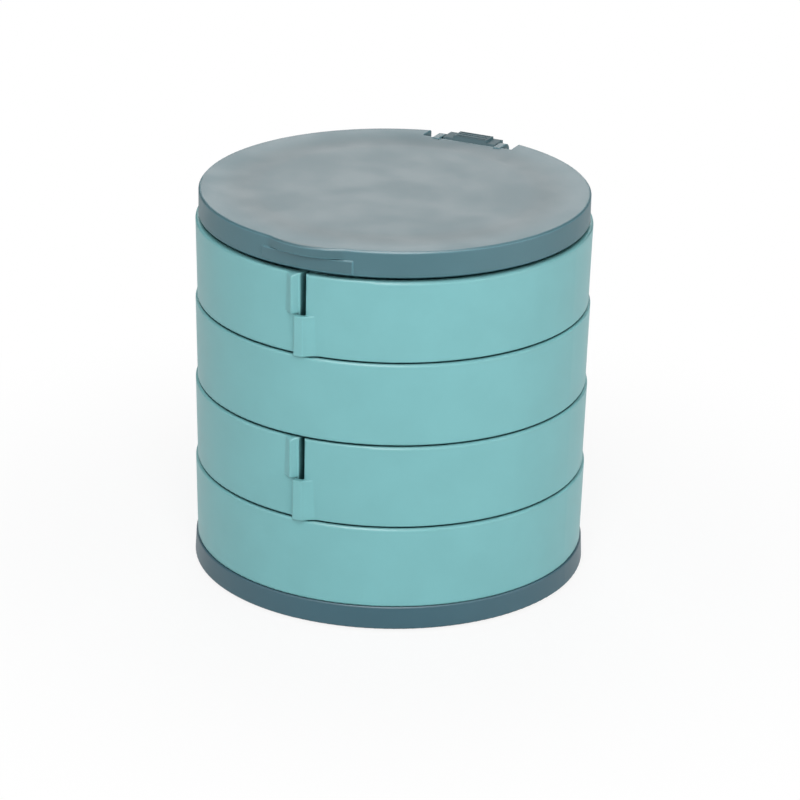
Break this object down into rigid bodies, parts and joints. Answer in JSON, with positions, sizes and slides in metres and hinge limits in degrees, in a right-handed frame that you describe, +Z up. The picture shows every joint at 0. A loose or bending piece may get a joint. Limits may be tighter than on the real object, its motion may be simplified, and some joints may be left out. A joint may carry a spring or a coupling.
{
  "type": "jewelry box",
  "caption": "Round stacked jewelry box with split trays that swing out on a rear post, whole trays between them, and a hinged mirror lid.",
  "frame": {"origin": "centre of the plane that the four foot pads stand on, on the axis of the round trays", "axes": "+Z up, -Y towards the front with the lid's thumb lip, +X to the right for someone facing the front; the post is at +Y"},
  "size_m": [0.102, 0.1034, 0.1014],
  "materials": {
    "tray_blue": "satin",
    "lid_grey": "matte",
    "base_grey": "satin",
    "head_grey": "satin",
    "steel": "satin",
    "pad_rubber": "matte",
    "foam": "matte",
    "silvered_glass": "polished"
  },
  "bodies": {
    "base": {"base_plate": "base_grey", "foot_pads": "pad_rubber", "post_rod": "steel", "post_washer": "steel", "post_screw": "steel", "hinge_head": "head_grey", "bottom_tray": "tray_blue", "middle_tray": "tray_blue", "lid_hinge_pin": "steel"},
    "lower_left": {"lower_left_tray": "tray_blue"},
    "lower_right": {"lower_right_tray": "tray_blue"},
    "upper_left": {"upper_left_tray": "tray_blue"},
    "upper_right": {"upper_right_tray": "tray_blue"},
    "lid": {"lid_shell": "lid_grey", "mirror_pad": "foam", "lid_mirror": "silvered_glass", "mirror_ring": "lid_grey"}
  },
  "joints": [
    {"name": "lower_left_swing", "type": "hinge", "parent": "base", "child": "lower_left", "pos_m": [0, 0.0465, 0.03915], "axis": [0, 0, -1], "range_deg": [0, 80]},
    {"name": "lower_right_swing", "type": "hinge", "parent": "base", "child": "lower_right", "pos_m": [0, 0.0465, 0.03915], "axis": [0, 0, 1], "range_deg": [0, 80]},
    {"name": "upper_left_swing", "type": "hinge", "parent": "base", "child": "upper_left", "pos_m": [0, 0.0465, 0.08295], "axis": [0, 0, -1], "range_deg": [0, 80]},
    {"name": "upper_right_swing", "type": "hinge", "parent": "base", "child": "upper_right", "pos_m": [0, 0.0465, 0.08295], "axis": [0, 0, 1], "range_deg": [0, 80]},
    {"name": "lid_turn", "type": "hinge", "parent": "base", "child": "lid", "pos_m": [0, 0.0465, 0.0986], "axis": [-1, 0, 0], "range_deg": [0, 95]}
  ]
}
